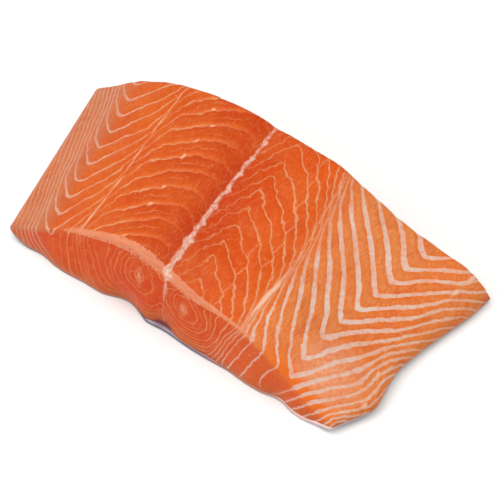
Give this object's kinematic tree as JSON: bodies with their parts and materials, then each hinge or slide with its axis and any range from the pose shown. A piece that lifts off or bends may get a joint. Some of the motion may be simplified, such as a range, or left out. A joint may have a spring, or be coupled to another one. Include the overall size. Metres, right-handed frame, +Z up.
{
  "type": "raw salmon fillet",
  "caption": "Raw salmon fillet: a centre-cut portion with orange flesh and white marbling, lying on its skin.",
  "frame": {"origin": "under the middle of the fillet's bounding box, on the surface it rests on", "axes": "+X from the thin back edge to the thin belly edge, +Y along the fish from one knife cut to the other, +Z up"},
  "size_m": [0.1944, 0.0916, 0.0341],
  "materials": {
    "flesh": "satin",
    "skin": "satin"
  },
  "bodies": {
    "root": {"flesh": "flesh", "skin": "skin"}
  },
  "joints": []
}
